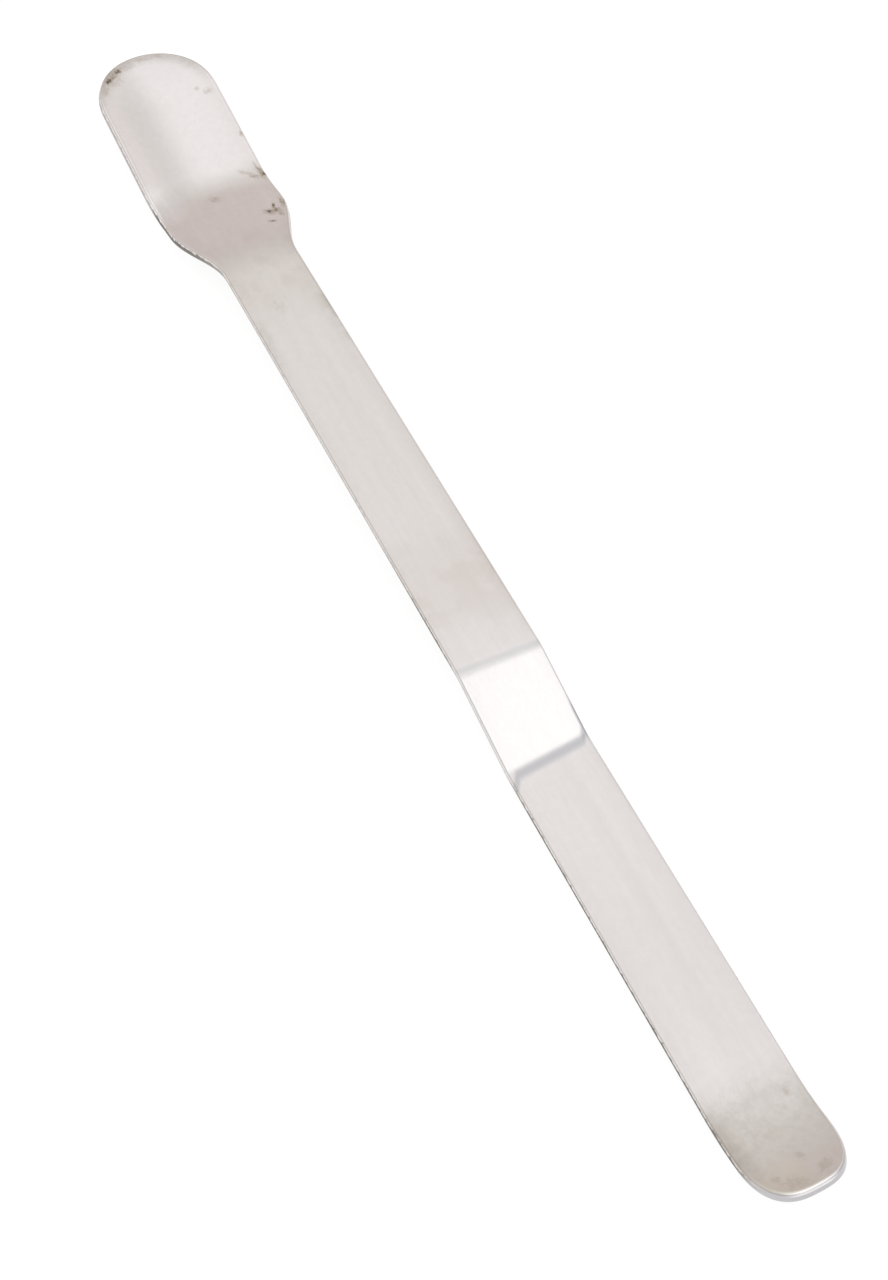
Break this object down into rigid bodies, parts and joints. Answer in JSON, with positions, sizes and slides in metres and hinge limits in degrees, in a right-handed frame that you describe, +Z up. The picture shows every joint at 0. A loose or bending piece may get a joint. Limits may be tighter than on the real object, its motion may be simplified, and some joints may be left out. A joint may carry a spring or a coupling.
{
  "type": "lab spatula",
  "caption": "Lab spatula pressed from stainless steel sheet: a shallow scoop below a ramp, a flat handle with a cranked step, and a flat blade with a curled round end.",
  "frame": {"origin": "middle of the overall box, on the surface the spatula lies on", "axes": "+X along the spatula towards the end of the blade, +Z up with the hollow of the scoop facing up, +Y to the left of +X"},
  "size_m": [0.151, 0.0145, 0.0052],
  "materials": {
    "satin_steel": "satin, with fine lengthwise streaks, a few dark stains at the scoop and a brown tint at the blade's end"
  },
  "bodies": {
    "root": {"spatula": "satin_steel"}
  },
  "joints": []
}
